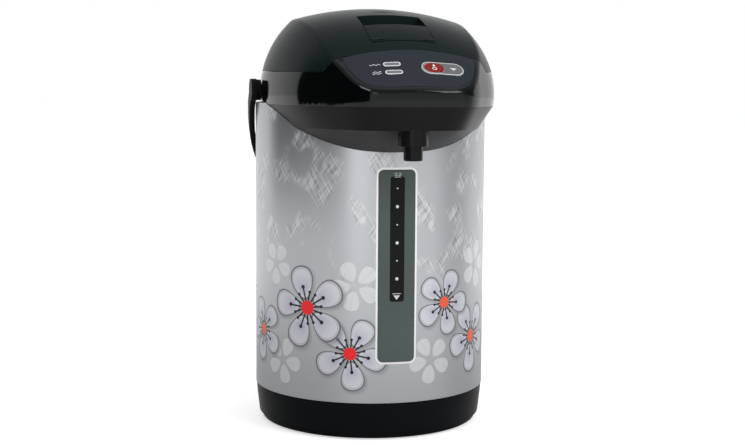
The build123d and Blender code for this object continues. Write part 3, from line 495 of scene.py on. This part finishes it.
def finishes():
    return {
        "case_silver": case_finish(),
        "base_black": moulded("base_black", (0.003, 0.004, 0.005), 0.30, shine=0.07),
        "head_black": moulded("head_black", (0.001, 0.002, 0.002), 0.08, 0.004 * mm, 400.0, 0.25),
        "lid_black": moulded("lid_black", (0.005, 0.011, 0.011), 0.26, 0.01 * mm, shine=0.05),
        "shoulder_grey": moulded("shoulder_grey", (0.010, 0.009, 0.010), 0.34, shine=0.10),
        "panel_blue": panel_finish(),
        "bezel_grey": bezel_finish(),
        "button_red": button_finish(),
        "lens_grey": lens_finish(),
        "spout_black": moulded("spout_black", (0.004, 0.004, 0.005), 0.22, 0.01 * mm, shine=0.15),
        "handle_grey": moulded("handle_grey", (0.005, 0.005, 0.005), 0.42, shine=0.05),
        "gauge_grey": moulded("gauge_grey", (0.075, 0.098, 0.093), 0.42, shine=0.2),
        "gauge_clear": smoked("gauge_clear", (0.008, 0.009, 0.008), 0.08),
        "tube_glass": glass("tube_glass", (0.9, 0.93, 0.93), 0.03),
        "vessel_steel": metal("vessel_steel", (0.55, 0.55, 0.56), 0.30),
        "sheet_steel": metal("sheet_steel", (0.42, 0.43, 0.44), 0.38),
        "pin_steel": metal("pin_steel", (0.62, 0.62, 0.63), 0.2, "x"),
        "seal_rubber": rubber("seal_rubber", (0.30, 0.30, 0.29)),
        "foot_rubber": rubber("foot_rubber", (0.02, 0.02, 0.02)),
        "inner_plastic": moulded("inner_plastic", (0.03, 0.03, 0.032), 0.5),
        "pump_plastic": moulded("pump_plastic", (0.45, 0.45, 0.42), 0.45),
        "board_green": moulded("board_green", (0.015, 0.10, 0.04), 0.35),
        "mica": moulded("mica", (0.33, 0.26, 0.16), 0.4, 0.05 * mm, 700.0),
        "magnet_grey": metal("magnet_grey", (0.10, 0.10, 0.105), 0.5),
        "pin_brass": metal("pin_brass", (0.60, 0.43, 0.17), 0.22),
        "led_clear": glass("led_clear", (0.85, 0.88, 0.8), 0.08),
    }


def dress_nodes(looks):
    """Each CAD node takes the finish of its slot in the record."""
    for part in frame["record"]["subparts"]:
        node = frame["nodes"][part["node"]]
        node.data.materials.clear()
        node.data.materials.append(looks[part["material_slot"]].material)


# ---------------------------------------------------------------- marks on the gauge

def mark_plate(form, outline, front):
    """A thin raised mark on the gauge from outline points (x, z) in millimetres."""
    back = [form.verts.new((x * mm, -front_at(front, x) * mm, z * mm)) for x, z in outline]
    face = [form.verts.new((x * mm, -(front_at(front, x) + mark_rise) * mm, z * mm)) for x, z in outline]
    form.faces.new(face)
    for i in range(len(outline)):
        j = (i + 1) % len(outline)
        form.faces.new((face[i], back[i], back[j], face[j]))


def front_at(front, x):
    """How far forward a round face of that radius lies at x."""
    return (front * front - x * x) ** 0.5


def stroke(form, start, end, width, front):
    """A straight bar of a numeral."""
    (x0, z0), (x1, z1) = start, end
    long = ((x1 - x0) ** 2 + (z1 - z0) ** 2) ** 0.5
    dx, dz = (x1 - x0) / long * width / 2, (z1 - z0) / long * width / 2
    corners = (
        (x0 - dx - dz, z0 - dz + dx),
        (x1 + dx - dz, z1 + dz + dx),
        (x1 + dx + dz, z1 + dz - dx),
        (x0 - dx + dz, z0 - dz - dx),
    )
    mark_plate(form, corners, front)


def gauge_marks():
    """Round dots for the level, a refill arrow, and the content in litres as plain numerals."""
    form = bmesh.new()
    for i, height in enumerate(dot_heights):
        radius = dot_radii[i % 2]
        turns = [2 * pi * k / dot_corners for k in range(dot_corners)]
        ring = [(radius * sin(turn), height + radius * cos(turn)) for turn in turns]
        mark_plate(form, ring, window_front)
    tip = (0.0, arrow_height - arrow_drop)
    mark_plate(form, ((-arrow_half, arrow_height), (arrow_half, arrow_height), tip), window_front)
    bar = arrow_height + bar_rise
    stroke(form, (-bar_half, bar), (bar_half, bar), bar_width, window_front)
    low, mid, high = numeral_height - numeral_half, numeral_height, numeral_height + numeral_half
    three = (
        ((-2.4, high), (-0.8, high)),
        ((-0.8, high), (-0.8, low)),
        ((-2.4, mid), (-0.8, mid)),
        ((-2.4, low), (-0.8, low)),
    )
    two = (
        ((1.0, high), (2.6, high)),
        ((2.6, high), (2.6, mid)),
        ((1.0, mid), (2.6, mid)),
        ((1.0, mid), (1.0, low)),
        ((1.0, low), (2.6, low)),
    )
    for start, end in (*three, ((0.0, low), (0.2, low)), *two):
        stroke(form, start, end, numeral_stroke, trim_front)
    mesh = bpy.data.meshes.new("gauge_marks")
    form.to_mesh(mesh)
    form.free()
    marks = bpy.data.objects.new("gauge_marks", mesh)
    bpy.context.scene.collection.objects.link(marks)
    mesh.materials.append(moulded("mark_white", (0.70, 0.71, 0.70), 0.4, 0.01 * mm).material)
    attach(marks, "housing")


# ---------------------------------------------------------------- studio

def camera():
    data = bpy.data.cameras.new("camera")
    data.lens = camera_lens
    data.sensor_width = camera_sensor
    eye = bpy.data.objects.new("camera", data)
    bpy.context.scene.collection.objects.link(eye)
    c, s = cos(camera_turn), sin(camera_turn)
    eye.location = (
        camera_side * c - camera_distance * s,
        -camera_side * s - camera_distance * c,
        camera_height,
    )
    look = Vector((s * cos(camera_pitch), c * cos(camera_pitch), -sin(camera_pitch)))
    turn = look.to_track_quat("-Z", "Y").to_matrix() @ Matrix.Rotation(camera_roll, 3, "Z")
    eye.rotation_euler = turn.to_euler()
    bpy.context.scene.camera = eye


def softbox(name, place, target, width, height, power):
    data = bpy.data.lights.new(name, "AREA")
    data.shape = "RECTANGLE"
    data.size = width
    data.size_y = height
    data.energy = power
    light = bpy.data.objects.new(name, data)
    bpy.context.scene.collection.objects.link(light)
    light.location = place
    light.rotation_euler = (Vector(target) - Vector(place)).to_track_quat("-Z", "Y").to_euler()


def studio():
    """A white room: bright behind the pot, dim beside it, with a strip of light at its front.
    The camera sees it white all round."""
    scene = bpy.context.scene
    scene.view_settings.view_transform = "Standard"
    world = bpy.data.worlds.new("studio")
    scene.world = world
    world.use_nodes = True
    tree = world.node_tree
    back = tree.nodes["Background"]
    split = tree.nodes.new("ShaderNodeSeparateXYZ")
    tree.links.new(tree.nodes.new("ShaderNodeTexCoord").outputs["Generated"], split.inputs[0])
    x, y, z = (Formula(tree, out) for out in split.outputs)
    turn = x.over(-y) * (180.0 / pi)
    walls = turn.step(-114.0, -134.0) * 0.65 + turn.step(100.0, 112.0) * 0.75 + 0.18
    strip = turn.step(-40.0, -34.0) * turn.step(72.0, 48.0)
    walls = walls + strip * 0.7 + abs(turn + 24.0).step(9.0, 5.0) * 1.4
    room = walls * z.step(0.75, 0.15) + z.step(0.15, 0.75) * 0.42
    ray = tree.nodes.new("ShaderNodeLightPath")
    seen = Formula(tree, ray.outputs["Is Camera Ray"])
    join(tree, room.most(seen), back.inputs["Strength"])
    join(tree, (1.0, 1.0, 1.0), back.inputs["Color"])
    middle = (0.0, 0.0, 0.2)
    softbox("key", (1.1, -1.4, 1.7), middle, 0.9, 0.9, 15.0)
    softbox("fill", (-1.3, -1.2, 1.7), middle, 0.9, 0.9, 16.0)
    softbox("top", (0.0, -0.2, 2.2), middle, 2.2, 1.6, 6.0)


def flag():
    """A black card that keeps the room's light off the left front of the glossy band. It shows
    in reflections alone, so that it hides the pot from no side."""
    mesh = bpy.data.meshes.new("flag")
    form = bmesh.new()
    rows = []
    for x, y in ((-0.52, -0.72), (-0.64, -0.40), (-0.74, -0.05), (-0.70, 0.42)):
        rows.append([form.verts.new((x, y, height)) for height in (0.15, 0.75)])
    for (a, b), (c, d) in zip(rows, rows[1:]):
        form.faces.new((a, c, d, b))
    form.to_mesh(mesh)
    form.free()
    card = bpy.data.objects.new("flag", mesh)
    bpy.context.scene.collection.objects.link(card)
    finish = Finish("flag_felt")
    felt = finish.mix(finish.noise(40.0), (0.001, 0.001, 0.001), (0.003, 0.003, 0.003))
    finish.set(Base_Color=felt, Roughness=0.9)
    mesh.materials.append(finish.material)
    card.visible_camera = False


def floor():
    """A wide pale disc with a soft, barely mottled paint, lit from below like a white sweep.
    The pot's reflections see it darker than the camera does, near the pot and to its right."""
    mesh = bpy.data.meshes.new("floor")
    form = bmesh.new()
    bmesh.ops.create_circle(form, cap_ends=True, segments=96, radius=9.0)
    form.to_mesh(mesh)
    form.free()
    ground = bpy.data.objects.new("floor", mesh)
    bpy.context.scene.collection.objects.link(ground)
    finish = Finish("floor_paint")
    cloud = finish.noise(3.0)
    pale = finish.mix(cloud, (0.90, 0.90, 0.90), (0.93, 0.93, 0.93))
    seen = Formula(finish.tree, finish.tree.nodes.new("ShaderNodeLightPath").outputs["Is Camera Ray"])
    finish.set(Base_Color=finish.mix(seen, (0.52, 0.52, 0.52), pale), Roughness=0.7)
    turn = finish.x.over(-finish.y) * (180.0 / pi)
    reach = finish.x.length(finish.y).step(0.25, 0.95)
    right = turn.step(52.0, 66.0) * turn.step(100.0, 90.0)
    glow = (reach * 0.60 + 0.20) * (right * -0.4 + 1.0)
    finish.set(Emission_Color=(1.0, 1.0, 1.0), Emission_Strength=glow.most(seen * 0.55))
    mesh.materials.append(finish.material)


camera()
studio()
floor()
flag()
dress_nodes(finishes())
gauge_marks()
